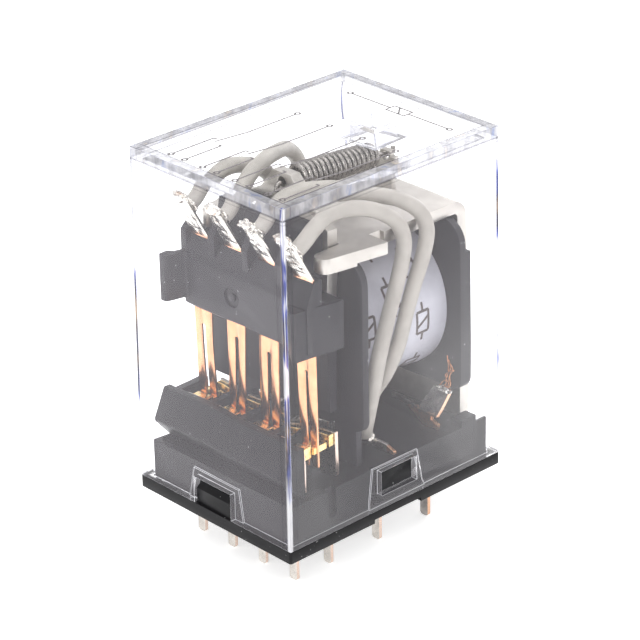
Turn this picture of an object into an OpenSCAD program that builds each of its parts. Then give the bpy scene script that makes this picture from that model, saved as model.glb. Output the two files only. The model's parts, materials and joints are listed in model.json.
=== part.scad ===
/* [Cover] */
// Outside length of the clear cover at its foot
cover_length = 28; // [27.6:0.1:34]
// Outside width of the clear cover at its foot
cover_width = 21.5; // [21.2:0.1:26]
// Height of the cover's top above the board
relay_height = 35.85; // [35.4:0.05:43]
// Thickness of the cover's four walls
wall = 1.0; // [0.8:0.05:1.0]
// Thickness of the cover's roof
roof = 1.2; // [0.9:0.1:1.4]
// How far each wall leans in from foot to top
draft = 0.3; // [0.1:0.05:0.35]
// Width of the latch window in each long wall
window_width = 4.66; // [3:0.02:6]
// Lower edge of the latch window
window_low = 2.6; // [2.2:0.05:3]
// Upper edge of the latch window
window_high = 5.15; // [4.6:0.05:5.6]
// Width of the notch in the foot of each end wall
notch_width = 5.18; // [3:0.02:6]
// Upper edge of the end wall notch
notch_high = 4.1; // [3.6:0.05:4.2]
// Depth of the shallow relief around each window and notch
relief_depth = 0.2; // [0.1:0.05:0.3]
// Length of the square boss under the roof
boss_length = 4.3; // [3:0.1:5]
// Width of the square boss under the roof
boss_width = 4.7; // [3:0.1:6]
// How far the boss hangs below the roof
boss_drop = 1.85; // [1:0.05:1.9]
// Wall of the square boss
boss_wall = 0.75; // [0.4:0.05:1]
// Distance of the boss centre from the relay's centre
boss_place = 7.5; // [6:0.1:8.5]

/* [Base] */
// Thickness of the foot flange
flange_height = 1.25; // [1:0.05:1.6]
// Corner radius of the foot flange
flange_corner = 0.25; // [0.2:0.05:1]
// Depth of the venting channel under each long edge
channel_depth = 0.4; // [0.2:0.05:0.6]
// Length of the venting channel
channel_length = 6.2; // [3:0.1:9]
// How far the venting channel reaches in from the edge
channel_reach = 3; // [1:0.1:3.2]
// Height of the block's top above the board
block_top = 5.25; // [5:0.05:5.5]
// Height of the contact shield's top above the board
shield_top = 10.5; // [9.5:0.1:11]
// Thickness of the barriers between the poles
barrier_wall = 0.8; // [0.5:0.1:1]
// Diameter of the ejector mark on the base ledge
ledge_mark = 1.7; // [0.8:0.1:1.8]

/* [Terminals] */
// Distance between neighbouring poles
pole_pitch = 4.4; // [4.2:0.05:4.5]
// Row of the normally closed terminals
nc_row = -9.8; // [-9.9:0.05:-9.6]
// Row of the normally open terminals
no_row = -5.35; // [-5.5:0.05:-5.2]
// Row of the common terminals
com_row = 1.15; // [0.5:0.05:2]
// Row of the coil terminals
coil_row = 7.8; // [7.4:0.05:8]
// Length of the pins below the board
pin_length = 5; // [3:0.1:6]
// Width of the pins
pin_width = 1.05; // [0.8:0.05:1.3]
// Thickness of the terminal strips and pins
pin_thickness = 0.4; // [0.3:0.05:0.5]
// Width of the fixed contact strips
strip_width = 2.4; // [1.8:0.1:2.6]
// Height of the fixed contacts' centre line
contact_level = 9.1; // [8.8:0.05:9.4]
// Height of the solder lug on a common terminal above the base
lug_height = 0.8; // [0.5:0.1:1.2]

/* [Moving contacts] */
// Width of the contact springs
spring_width = 2.45; // [1.8:0.05:2.8]
// Thickness of the contact springs
spring_thickness = 0.22; // [0.15:0.01:0.3]
// Width of the slot that splits each contact spring
spring_slot = 0.5; // [0.2:0.05:0.6]
// Place of the contact springs along the relay
spring_place = -8.0; // [-8.1:0.05:-7.9]
// Lower end of the contact springs
spring_foot = 7.3; // [7:0.05:7.6]
// Angle the armature swings when the coil pulls
swing_angle = 1.8; // [1.2:0.1:2.2]
// Diameter of the grey lead wires
wire_diameter = 1.5; // [1:0.05:1.5]

/* [Magnet] */
// Height of the coil's axis
coil_level = 17.5; // [17.2:0.1:17.8]
// Diameter of the wound coil with its tape
coil_diameter = 14.6; // [12:0.1:14.6]
// Thickness of the tape round the winding
tape_thickness = 0.2; // [0.1:0.05:0.4]
// Diameter of the iron core
core_diameter = 6; // [4:0.1:6.4]
// Diameter of the pole face
pole_diameter = 8.4; // [7:0.1:9]
// Width of the bobbin's end flanges
bobbin_width = 18.5; // [17:0.1:18.6]
// Height of the bobbin's end flanges
bobbin_height = 17.7; // [16:0.1:17.7]
// Thickness of the bobbin's front flange
bobbin_flange = 0.8; // [0.6:0.05:0.9]
// Thickness of the bobbin's barrel
barrel_wall = 0.8; // [0.5:0.05:1]
// Thickness of the yoke
yoke_thickness = 1.2; // [1:0.05:1.3]
// Height of the yoke's top
yoke_top = 28; // [27.8:0.05:28.1]
// Width of the yoke's bent strip
yoke_width = 14.9; // [13.5:0.1:15]
// Thickness of the armature plate
armature_thickness = 1.2; // [1:0.05:1.3]
// Width of the armature plate
armature_width = 12.5; // [10.4:0.1:12.6]
// Outer diameter of the return spring
return_diameter = 2.8; // [2:0.1:2.8]
// Wire diameter of the return spring
return_wire = 0.5; // [0.3:0.05:0.55]
// Turns of the return spring
return_turns = 17; // [10:1:18]

/* [Hidden] */
$fn = 48;
overcut = 1;
bite = 0.5;
overlap = 0.1;

// Clearances, each between one kind of pair
seam_gap = 0.03;
cover_gap = 0.12;
slot_gap = 0.02;
moulding_gap = 0.01;
hinge_gap = 0.1;
pole_gap = 0.02;
contact_gap = 0.03;
core_gap = 0.05;
winding_gap = 0.03;

function pole_y(pole) = (2.5 - pole) * pole_pitch;
function spring_y(pole) = (2.5 - pole) * spring_pitch;
function lean(z) = draft * (z - flange_height) / (relay_height - flange_height);
function rot2(p, a) = [p[0] * cos(a) - p[1] * sin(a), p[0] * sin(a) + p[1] * cos(a)];

// Base block and its moulded contact shield
block_half_length = cover_length / 2 - wall - cover_gap;
block_half_width = cover_width / 2 - wall - cover_gap;
side_lug_rise = 0.28;
end_lug_rise = wall - 0.2;
end_lug_drop = 0.7;
lug_slope = 0.6;
window_place = 0.22;
notch_place = 0.2;
relief_sides = [0.55, 0.75];
relief_feet = [1.25, 1.75];
relief_over = [0.2, 0.5];
block_taper = 0.02;
shield_outer = 12.7;
shield_lip = 11.2;
shield_root = 10.75;
shield_inner = 10.4;
shield_waist = 7.3;
shield_edge = 0.45;
shield_end = -8.7;
barrier_length = 4.1;
barrier_top = shield_top - 0.5;
slot_x = -7.75;
slot_half = 0.55;
slot_low = 2.8;
slot_cut = 0.7;
ledge_mark_depth = 0.25;
ledge_mark_x = -11.6;
ledge_mark_y = 8.5;
step_inset = 1.6;
step_rise = 0.75;
rear_web = 0.33;

// Hinge line of the armature, the centre of the rounded lower front edge of the yoke
yoke_front = -3.2;
yoke_under = yoke_top - yoke_thickness;
hinge_edge = 0.15;
hinge_x = yoke_front + hinge_edge;
hinge_z = yoke_under + hinge_edge;
plate_inner = yoke_front - hinge_gap;
plate_outer = plate_inner - armature_thickness;
pole_face_x = plate_inner + pole_gap;
armature_foot = 12;
shoulder_z = yoke_top + 1.5;
tail_top = 33.1;
tail_root = [3, 1.5];
tail_half = 1.2;
tail_hole_z = 32.15;
tail_hole_r = 0.5;
swing_at_contact = (hinge_z - contact_level) * tan(swing_angle);

// Yoke
leg_outer = cover_length / 2 - wall - 0.65;
leg_inner = leg_outer - yoke_thickness;
leg_foot = block_top - 1;
step_front = leg_outer - 2.85;
step_back = leg_outer - 0.9;
bend_radius = 1.7;
ear_inner = armature_width / 2 + 0.2;
ear_outer = 9.35;
ear_nose_r = 0.95;
ear_nose_x = -5.95;
ear_back = 0.1;
ear_relief = 1.4;
ear_shoulder = [0.2, 1.98];
ear_drop = 0.3;
ear_bite = 0.55;
anchor_x = 9.1;
anchor_thickness = 0.6;
anchor_half_width = 1.3;
anchor_top = 31;
anchor_step = 0.6;
anchor_hole_z = 30.35;
rivet_radius = 2;
rivet_head_radius = 2.7;
rivet_head_height = 0.3;

// Bobbin and coil
front_flange_x = plate_inner + 0.12;
barrel_x = front_flange_x + bobbin_flange;
rear_flange_thickness = 1.45;
rear_flange_x = leg_inner - 0.04 - rear_flange_thickness;
rear_lip = 0.65;
rear_lip_top = 23.5;
rear_skin = rear_flange_thickness - rear_lip;
bobbin_low = yoke_under - 0.1 - bobbin_height;
bobbin_corner = 2.5;
bobbin_foot_corner = 1.2;
shoe_depth = 0.42;
bobbin_foot_y = 6.7;
bobbin_foot_width = 3;
barrel_radius = core_diameter / 2 + core_gap + barrel_wall;
tape_radius = coil_diameter / 2;
winding_radius = tape_radius - tape_thickness;

// Moving block, which carries the four contact springs
spring_pitch = pole_pitch + 0.15;
block_face = -9.1;
block_edge = 0.3;
ear_play = 0.3;
rib_half = 0.4;
rib_top = 28.5;
mark_z = 21.7;
mark_depth = 0.25;
mark_core = 0.4;
block_foot = 19;
block_ledge = 24;
block_shoulder = 26.3;
block_end = 1.5 * spring_pitch + spring_width / 2 + 0.2;
block_back = -5;
body_half = ear_inner - 0.85;
body_top = 30;
rail_outer = armature_width / 2 + 0.6;
rail_front = -5.35;
rail_back = -4.1;
rail_top = block_foot + 1;
rail_low = armature_foot - 0.6;
rail_taper = 0.2;
wing_face = -11.35;
wing_tip = 9.4;
wing_low = 19.85;
wing_high = 24.55;
wing_lip = 0.75;
wing_edge = 0.15;
wing_root = 1.9;
wing_gauge = 1.1;
wing_steps = 8;
end_wall_low = 22;
end_wall_top = 27.2;
end_wall_edge = block_end + 0.65;
end_wall_face = block_face + 0.4;
end_wall_dip = block_shoulder - 0.4;
skirt_back = -4.6;
skirt_foot = 10.4;
horn_low = 18.8;
horn_high = 23.7;
horn = [[-9.1, -5.6], [-10.3, -7.3], [-10.2, -7.8], [-6.2, -8.75], [-5, -8.75], [-5, -5.6]];

// Contacts, their springs a little further apart than the pins
pin_edge = 0.2;
tinning = 0.14;
tip_bead = 0.5;
fixed_contact_height = 1.3;
fixed_contact_width = 2.1;
bar_front = 0.5;
bar_back = 1.2;
bar_width = 0.85;
bar_height = 0.75;
nc_face = spring_place - bar_front - contact_gap;
no_face = spring_place + bar_back + swing_at_contact + contact_gap;
nc_strip_back = nc_row + 0.35;
nc_gauge = 0.3;
nc_head_back = nc_row + 0.15;
nc_head_front = nc_row - 0.1;
nc_bend_z = contact_level - 1;
strip_root = 0.4;
strip_low = block_top + slot_gap;
strip_top = 10;
no_strip_top = contact_level + fixed_contact_height / 2 + 0.05;
tip_bend_z = 26.3;
tip_end_x = -10.6;
tip_end_z = 31.2;
tip_angle = atan2(spring_place - tip_end_x, tip_end_z - tip_bend_z);
tip_length = norm([spring_place - tip_end_x, tip_end_z - tip_bend_z]);
tip_width = 1.8;
tip_root_width = 2.4;
tip_trims = [0, 0, 0.4, 0.4];
slot_head = block_foot - 2.2;

// Return spring, between the armature's tail and the yoke's anchor
return_start = [-2.9, 0, 32.05];
return_end = [7.4, 0, 31.15];
return_sides = 6;
return_steps = 12;
hook_reach = 0.9;

// Lead wire routes, each from the back of its spring's upper end down to its common terminal
wire_sides = 8;
tip_tilt = [cos(tip_angle), 0, sin(tip_angle)];
wire_start_z = [29.5, 29.5, 29.45, 28.95];
wire_lift = [1.25, 1.3, 1.3, 1.2];
function wire_start(pole) =
    let (z = wire_start_z[pole - 1])
    [spring_place - (z - tip_bend_z) * tan(tip_angle), spring_y(pole), z]
        + (spring_thickness / 2 + slot_gap) * tip_tilt;
free_1 = [
    [-7.3, 6.75, 31.4], [-6.1, 6.75, 31.95], [-4.7, 6.95, 32.0], [-2.7, 7.3, 31.5],
    [-0.3, 7.8, 30.4], [1.6, 8.4, 28.8], [2.6, 8.6, 27.0], [2.6, 8.6, 24.8], [1.7, 8.6, 22.4],
    [0.6, 8.6, 19.7], [-0.4, 8.5, 16.0], [-0.9, 8.2, 12.6], [-0.9, 7.6, 10.3]
];
free_2 = [
    [-7.3, 2.45, 31.55], [-5.6, 3.05, 32.4], [-3.0, 4.0, 32.7], [-0.3, 5.2, 32.4], [2.4, 6.5, 31.6],
    [4.5, 7.6, 30.0], [5.7, 8.4, 28.3], [6.0, 8.6, 26.3], [5.4, 8.6, 24.2], [4.2, 8.6, 21.9],
    [3.0, 8.6, 19.2], [2.2, 8.3, 16.4], [1.6, 7.4, 13.5], [1.2, 6.2, 11.2], [1.0, 4.9, 9.0]
];
free_3 = [
    [-7.2, -2.5, 31.75], [-5.6, -3.15, 32.4], [-3.0, -4.1, 32.3], [-0.2, -5.0, 31.5], [2.1, -6.0, 31.0],
    [4.0, -7.2, 30.3], [5.4, -8.2, 29.0], [5.9, -8.6, 27.2], [5.4, -8.6, 24.8], [4.3, -8.6, 22.5],
    [3.1, -8.6, 19.7], [2.2, -8.3, 16.5], [1.6, -7.4, 13.5], [1.2, -6.2, 11.2], [1.0, -4.9, 9.0]
];
free_4 = [
    [-6.6, -6.75, 30.65], [-4.9, -6.7, 31.35], [-2.5, -7.0, 31.4], [0.2, -7.7, 30.6], [2.1, -8.4, 29.1],
    [2.9, -8.6, 27.2], [2.6, -8.6, 25.0], [1.7, -8.6, 22.5], [0.6, -8.6, 19.7], [-0.4, -8.5, 16.0],
    [-0.9, -8.2, 12.6], [-0.9, -7.6, 10.3]
];
free_runs = [free_1, free_2, free_3, free_4];
function wire_foot(pole) =
    let (y = pole_y(pole), side = sign(y))
    abs(y) > pole_pitch
        ? [[-0.5, y + 0.1 * side, 8.2], [0.2, y - 0.9 * side, 6.75]]
        : [[1.0, y + 1.4 * side, 7.2], [1.1, y + 0.7 * side, 6.6]];
function route(pole) = concat(
    [wire_start(pole), wire_start(pole) + wire_lift[pole - 1] * tip_tilt], free_runs[pole - 1],
    wire_foot(pole));
lug_solder_radius = 0.85;
com_lug_inner = 1.7;
com_lug_outer = 0.9;
com_lug_long = 2.4;
com_lug_slope = 0.45;

// Coil terminal ribbons, arms and leads
ribbon_width = 2.6;
ribbon_gauge = 0.3;
ribbon_foot_z = 6.6;
ribbon_clear = 0.11;
ribbon_top_x = rear_flange_x - ribbon_clear - coil_row;
ribbon_top_z = 8.75;
arm_tip_y = 1.9;
arm_tip_z = 7.4;
arm_knee_y = 4.1;
arm_knee_z = 7.2;
arm_foot_y = 8;
arm_height = 0.5;
coil_pole_y = 1.5 * pole_pitch;
coil_solder_radius = 0.75;
lead_radius = 0.12;
lead_top = 12.4;
lead_bow = 11;
corner_steps = 5;

// Unit vectors across a path that runs from point a to point b
function unit(v) = v / norm(v);
function side_of(d) = unit(cross(d, abs(d[1]) > 0.9 ? [1, 0, 0] : [0, 1, 0]));
function path_way(path, i) =
    unit(path[min(i + 1, len(path) - 1)] - path[max(i - 1, 0)]);
function ring(centre, way, radius, sides) =
    let (u = side_of(way), v = cross(way, u))
    [for (k = [0:sides - 1]) centre + radius * (cos(360 * k / sides) * u + sin(360 * k / sides) * v)];

// Corner b of an outline that comes from a and goes on to c, rounded to a radius
function rounded(a, b, c, radius) =
    let (
        u = unit(a - b),
        v = unit(c - b),
        half = acos(u * v) / 2,
        centre = b + unit(u + v) * radius / sin(half),
        turn = 180 - 2 * half,
        p = b + u * radius / tan(half) - centre,
        q = b + v * radius / tan(half) - centre
    )
    [for (k = [0:corner_steps]) let (t = k / corner_steps)
        centre + (p * sin((1 - t) * turn) + q * sin(t * turn)) / sin(turn)];

// A round rod swept along a list of points
module swept_rod(path, radius, sides) {
    rings = [for (i = [0:len(path) - 1]) ring(path[i], path_way(path, i), radius, sides)];
    last = len(path) - 1;
    polyhedron(
        points = [for (r = rings) for (p = r) p],
        faces = concat(
            [[for (k = [0:sides - 1]) sides - 1 - k]],
            [for (i = [0:last - 1]) for (k = [0:sides - 1])
                [i * sides + k, i * sides + (k + 1) % sides, (i + 1) * sides + (k + 1) % sides]],
            [for (i = [0:last - 1]) for (k = [0:sides - 1])
                [i * sides + k, (i + 1) * sides + (k + 1) % sides, (i + 1) * sides + k]],
            [[for (k = [0:sides - 1]) last * sides + k]]
        ),
        convexity = 10
    );
}

// A flat profile in X and Z, given a width along Y
module slab_y(low, high) {
    translate([0, high, 0]) rotate([90, 0, 0]) linear_extrude(high - low) children();
}

// A flat profile in Y and Z, given a thickness along X
module slab_x(low, high) {
    translate([low, 0, 0]) rotate([90, 0, 90]) linear_extrude(high - low) children();
}

module box_between(low, high) {
    translate(low) cube(high - low);
}

module on_both_sides() {
    children();
    mirror([0, 1, 0]) children();
}

module on_both_ends() {
    children();
    mirror([1, 0, 0]) children();
}

module rod_x(low, high, radius, z) {
    translate([low, 0, z]) rotate([0, 90, 0]) cylinder(h = high - low, r = radius);
}

module rounded_rectangle(length, width, corner) {
    square([length - 2 * corner, width], center = true);
    square([length, width - 2 * corner], center = true);
    for (sx = [-1, 1]) for (sy = [-1, 1])
        translate([sx * (length / 2 - corner), sy * (width / 2 - corner)]) circle(corner);
}

// A box whose four sides lean in like the cover's, set in by inset
module leaning_box(inset, low, high) {
    l0 = cover_length / 2 - inset - lean(low);
    l1 = cover_length / 2 - inset - lean(high);
    w0 = cover_width / 2 - inset - lean(low);
    w1 = cover_width / 2 - inset - lean(high);
    intersection() {
        slab_y(-cover_width, cover_width) polygon([[-l0, low], [l0, low], [l1, high], [-l1, high]]);
        slab_x(-cover_length, cover_length) polygon([[-w0, low], [w0, low], [w1, high], [-w1, high]]);
    }
}

// Relief outline round a latch opening: wide at the foot, narrower at the top
module relief_outline(low, high, top) {
    foot = flange_height - overcut;
    polygon([
        [low - relief_feet[0], foot], [high + relief_feet[1], foot],
        [high + relief_sides[1], top], [low - relief_sides[0], top]
    ]);
}

module cover() {
    foot = flange_height + seam_gap;
    ceiling = relay_height - roof;
    relief_y = cover_width / 2 - wall + relief_depth;
    relief_x = cover_length / 2 - wall + relief_depth;
    window = [window_place - window_width / 2, window_place + window_width / 2];
    notch = [notch_place - notch_width / 2, notch_place + notch_width / 2];
    color("aliceblue", 0.35) {
        difference() {
            leaning_box(0, foot, relay_height);
            leaning_box(wall, foot - overcut, ceiling);
            on_both_sides() {
                box_between([window[0], cover_width / 2 - 2 * wall, window_low],
                    [window[1], cover_width / 2 + overcut, window_high]);
                slab_y(0, relief_y) relief_outline(window[0], window[1], window_high + relief_over[0]);
            }
            on_both_ends() {
                box_between([cover_length / 2 - 2 * wall, notch[0], foot - overcut],
                    [cover_length / 2 + overcut, notch[1], notch_high]);
                slab_x(0, relief_x) relief_outline(notch[0], notch[1], notch_high + relief_over[1]);
            }
        }
        translate([boss_place, 0, ceiling - boss_drop / 2]) difference() {
            size = [boss_length, boss_width, boss_drop];
            cube(size, center = true);
            translate([0, 0, -overcut / 2])
                cube(size - [2 * boss_wall, 2 * boss_wall, -overcut], center = true);
        }
    }
}

// One latch lug, rising out of the block into the opening of the cover
module latch_lug(reach, rise, place, width, low, high) {
    slab_x(place - width / 2, place + width / 2)
        polygon([
            [reach - overcut, low], [reach + rise, low], [reach + rise, high - lug_slope],
            [reach, high], [reach - overcut, high]
        ]);
}

module shield_profile() {
    toe = [-shield_root, block_top];
    nose = [-shield_outer, shield_waist];
    lip = [-shield_lip, shield_top];
    back = [-shield_inner, shield_top];
    polygon(concat(
        [[-shield_inner, block_top - overcut], [-shield_root, block_top - overcut], toe],
        rounded(toe, nose, lip, shield_edge),
        rounded(nose, lip, back, shield_edge / 2),
        [back]
    ));
}

module base_slots() {
    slot_w = pin_width + 2 * slot_gap;
    slot_t = pin_thickness + 2 * slot_gap;
    for (pole = [1:4]) for (row = [nc_row, no_row, com_row])
        translate([row, pole_y(pole), block_top / 2])
            cube([slot_t, slot_w, block_top + 2 * overcut], center = true);
    for (side = [-1, 1])
        translate([coil_row, side * coil_pole_y, block_top / 2])
            cube([slot_t, slot_w, block_top + 2 * overcut], center = true);
}

module base() {
    pocket = yoke_width + 2 * slot_gap;
    color([0.1, 0.1, 0.11]) difference() {
        union() {
            linear_extrude(flange_height) rounded_rectangle(cover_length, cover_width, flange_corner);
            box_between([-block_half_length, -block_half_width, flange_height - bite],
                [block_half_length, block_half_width, block_top]);
            on_both_sides()
                latch_lug(block_half_width, side_lug_rise, window_place, window_width - 4 * slot_gap,
                    window_low + slot_gap, window_high - 2 * slot_gap);
            on_both_ends() rotate([0, 0, 90])
                latch_lug(block_half_length, end_lug_rise, notch_place, notch_width - 4 * slot_gap,
                    flange_height - overlap, notch_high - end_lug_drop);
            slab_y(shield_end, block_half_width - block_taper) shield_profile();
            for (row = [-1:1])
                box_between([-shield_inner - overlap, row * pole_pitch - barrier_wall / 2, block_top - bite],
                    [-shield_inner + barrier_length, row * pole_pitch + barrier_wall / 2, barrier_top]);
            translate([0, block_half_width - block_taper - barrier_wall, 0])
                box_between([-shield_inner - overlap, 0, block_top - bite],
                    [-shield_inner + barrier_length, barrier_wall, barrier_top]);
            on_both_sides()
                box_between([step_front, block_half_width - step_inset, block_top - bite],
                    [step_back, block_half_width, block_top + step_rise]);
        }
        base_slots();
        translate([leg_inner - slot_gap, -pocket / 2, leg_foot])
            cube([yoke_thickness + 2 * slot_gap, pocket, block_top]);
        box_between([step_back, -block_half_width + rear_web, leg_foot],
            [cover_length, block_half_width - rear_web, block_top + overcut]);
        on_both_sides()
            box_between([-channel_length / 2, cover_width / 2 - channel_reach, -overcut],
                [channel_length / 2, cover_width / 2 + overcut, channel_depth]);
        translate([ledge_mark_x, ledge_mark_y, block_top - ledge_mark_depth])
            cylinder(h = ledge_mark_depth + slot_gap, d = ledge_mark);
        translate([slot_x, -block_half_width - overcut, 0])
            box_between([-slot_half, 0, slot_low], [slot_half, overcut + slot_cut, block_top + overcut]);
        translate([slot_x, -block_half_width + slot_cut, slot_low])
            rotate([90, 0, 0]) cylinder(h = slot_cut + overcut, r = slot_half);
    }
}

// A flat pin with chamfered corners at its tip, from the tip up to a height
module pin(top) {
    half = pin_width / 2;
    slab_x(-pin_thickness / 2, pin_thickness / 2) polygon([
        [-half, top], [-half, pin_edge - pin_length], [pin_edge - half, -pin_length],
        [half - pin_edge, -pin_length], [half, pin_edge - pin_length], [half, top]
    ]);
}

module nc_terminal(pole) {
    half = strip_width / 2;
    t = pin_thickness;
    color("wheat") translate([0, pole_y(pole), 0]) {
        translate([nc_row, 0, 0]) pin(block_top + strip_root);
        slab_y(-half, half) polygon([
            [nc_row - t / 2, strip_low], [nc_strip_back, strip_low], [nc_strip_back, nc_bend_z],
            [nc_head_back, strip_top], [nc_head_front, strip_top],
            [nc_strip_back - nc_gauge, nc_bend_z - overlap],
            [nc_strip_back - nc_gauge, block_top + strip_root], [nc_row - t / 2, block_top + strip_root]
        ]);
    }
}

module nc_contact(pole) {
    half = fixed_contact_height / 2;
    color("gold") translate([0, pole_y(pole), 0])
        slab_y(-fixed_contact_width / 2, fixed_contact_width / 2) polygon([
            [nc_strip_back - slope_at(contact_level - half), contact_level - half],
            [nc_face, contact_level - half],
            [nc_face, contact_level + half],
            [nc_strip_back - slope_at(contact_level + half), contact_level + half]
        ]);
}

// How far the leaning head of a closed-side strip has moved back at height z
function slope_at(z) =
    max(0, z - nc_bend_z) / (strip_top - nc_bend_z) * (nc_strip_back - nc_head_back);

module no_terminal(pole) {
    half = strip_width / 2;
    t = pin_thickness;
    color("wheat") translate([no_row, pole_y(pole), 0]) {
        pin(block_top + strip_root);
        box_between([-t / 2, -half, strip_low], [t / 2, half, no_strip_top]);
    }
}

module no_contact(pole) {
    half = fixed_contact_height / 2;
    color("gold") translate([0, pole_y(pole), contact_level])
        box_between([no_face, -fixed_contact_width / 2, -half],
            [no_row - pin_thickness / 2, fixed_contact_width / 2, half]);
}

// The low solder lug of a common terminal, which reaches both ways from its pin
module com_lug(pole) {
    end_pole = abs(pole_y(pole)) > pole_pitch;
    inner = end_pole ? com_lug_long : com_lug_inner;
    outer = end_pole ? com_lug_long : com_lug_outer;
    drop = end_pole ? com_lug_slope : 0;
    top = block_top + lug_height;
    translate([com_row, pole_y(pole), 0]) mirror([0, pole_y(pole) > 0 ? 0 : 1, 0])
        slab_x(-pin_thickness / 2, pin_thickness / 2) polygon([
            [-inner, strip_low], [outer, strip_low], [outer, top - drop], [outer / 2, top], [-inner, top]
        ]);
}

module com_terminal(pole) {
    color("wheat") {
        translate([com_row, pole_y(pole), 0]) pin(block_top + strip_root);
        com_lug(pole);
    }
}

// The solder ribbon of a coil terminal, leaning out to the rear flange
module coil_ribbon() {
    t = pin_thickness;
    slab_y(coil_pole_y - ribbon_width / 2, coil_pole_y + ribbon_width / 2) polygon([
        [coil_row - t / 2, ribbon_foot_z - overlap], [coil_row + t / 2, ribbon_foot_z - overlap],
        [coil_row + t / 2, ribbon_foot_z], [coil_row + ribbon_top_x, ribbon_top_z - ribbon_gauge],
        [coil_row + ribbon_top_x - ribbon_gauge, ribbon_top_z], [coil_row - t / 2, ribbon_foot_z + overlap]
    ]);
}

module coil_terminal(side) {
    t = pin_thickness;
    color("peru") mirror([0, side < 0 ? 1 : 0, 0]) {
        translate([coil_row, coil_pole_y, 0]) pin(ribbon_foot_z);
        slab_x(coil_row - t / 2, coil_row + t / 2) polygon([
            [arm_foot_y, strip_low], [arm_foot_y, block_top + arm_height],
            [arm_knee_y, arm_knee_z], [arm_tip_y, arm_tip_z], [arm_tip_y, arm_tip_z - arm_height],
            [arm_knee_y - 0.1, arm_knee_z - arm_height], [coil_pole_y - 0.6, strip_low]
        ]);
        coil_ribbon();
    }
}

// The contact spring's bent strip, a little thicker for the slot in its block
module spring_strip(width, extra) {
    h = spring_thickness / 2 + extra;
    way = [sin(tip_angle), cos(tip_angle)];
    bend = h * tan(tip_angle / 2);
    x = spring_place;
    slab_y(-width / 2 - extra, width / 2 + extra) polygon([
        [x + h, spring_foot], [x + h, tip_bend_z + bend],
        [tip_end_x + h * way[1], tip_end_z + h * way[0]],
        [tip_end_x - h * way[1], tip_end_z - h * way[0]],
        [x - h, tip_bend_z - bend], [x - h, spring_foot]
    ]);
}

// Places its children on the spring's bend, with Z along the leaning upper end
module on_tip() {
    translate([spring_place, 0, tip_bend_z]) rotate([0, -tip_angle, 0]) children();
}

// What is cut from a blank strip to taper its upper end and bring it to length
module tip_waste(pole) {
    end = tip_length - tip_trims[pole - 1];
    on_tip() slab_x(-overcut, overcut) {
        for (side = [-1, 1]) polygon([
            [side * tip_root_width / 2, 0], [side * spring_width, 0], [side * spring_width, tip_length],
            [side * tip_width / 2, end]
        ]);
        polygon([
            [-spring_width, end], [-tip_width / 2 + pin_edge, end], [tip_width / 2 - pin_edge, end],
            [spring_width, end], [spring_width, tip_length + 1], [-spring_width, tip_length + 1]
        ]);
    }
}

module spring_blank(pole) {
    difference() {
        spring_strip(spring_width, 0);
        tip_waste(pole);
    }
}

module contact_spring(pole) {
    slot_foot = spring_foot - overcut;
    color("sandybrown") translate([0, spring_y(pole), 0]) difference() {
        spring_blank(pole);
        translate([spring_place, 0, (slot_foot + slot_head) / 2])
            cube([1, spring_slot, slot_head - slot_foot], center = true);
        translate([spring_place, 0, slot_head]) rotate([0, 90, 0])
            cylinder(h = 1, d = spring_slot, center = true);
    }
}

// Twin crossbars of one pole, one through each leg of its spring
module moving_contact(pole) {
    leg_y = (spring_width + spring_slot) / 4;
    color("gold") for (side = [-1, 1]) for (face = [0, 1])
        translate([spring_place, spring_y(pole) + side * leg_y, contact_level])
            box_between([face == 0 ? -bar_front : spring_thickness / 2, -bar_width / 2, -bar_height / 2],
                [face == 0 ? -spring_thickness / 2 : bar_back, bar_width / 2, bar_height / 2]);
}

// Tinning on the front of a spring's upper end, with a bead over its top edge
module tip_solder(pole) {
    front = -spring_thickness / 2;
    end = tip_length - tip_trims[pole - 1];
    color("lightgray") translate([0, spring_y(pole), 0]) difference() {
        on_tip() {
            slab_x(front - tinning, front) polygon([
                [-tip_width / 2 - 0.1, 1.2], [tip_width / 2 + 0.1, 1.2], [tip_width / 2 - 0.1, end],
                [-tip_width / 2 + 0.1, end]
            ]);
            translate([0, 0, end - 0.15]) rotate([90, 0, 0])
                cylinder(h = tip_width - 0.1, r = tip_bead, center = true);
        }
        spring_blank(pole);
        translate(wire_start(pole) - [0, spring_y(pole), 0]) rotate([0, 90 - tip_angle, 0])
            cylinder(h = 2, d = wire_diameter + 2 * seam_gap);
    }
}

// The armature plate as it stands when it lies flat on the pole
module armature_plate(extra) {
    half = armature_width / 2 + extra;
    slab_x(plate_outer - extra, plate_inner + extra) polygon([
        [-half, armature_foot - extra], [half, armature_foot - extra], [half, shoulder_z],
        [tail_root[0], shoulder_z + tail_root[1]], [tail_half, tail_top],
        [-tail_half, tail_top], [-tail_root[0], shoulder_z + tail_root[1]], [-half, shoulder_z]
    ]);
}

// Swings its children from the closed place to the open one, about the hinge line
module opened() {
    translate([hinge_x, 0, hinge_z]) rotate([0, swing_angle, 0])
        translate([-hinge_x, 0, -hinge_z]) children();
}

module armature() {
    color("silver") opened() difference() {
        armature_plate(0);
        rod_x(plate_outer - overcut, plate_inner + overcut, tail_hole_r, tail_hole_z);
    }
}

module wing_outline() {
    start = block_end - bite;
    end = wing_tip - wing_lip;
    rise = block_face - wing_face;
    root_x = block_face + wing_root;
    polygon(concat(
        [[root_x, start], [block_face, start - 2 * overlap]],
        [for (k = [0:wing_steps]) let (share = k / wing_steps)
            [block_face - rise * (1 - cos(180 * share)) / 2, start + (end - start) * share]],
        [[wing_face, wing_tip - wing_edge], [wing_face + wing_edge, wing_tip],
            [wing_face + wing_gauge, wing_tip], [wing_face + wing_gauge + bite, end + wing_edge],
            [block_face + bite, end - wing_edge], [root_x, end - wing_edge]]
    ));
}

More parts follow.
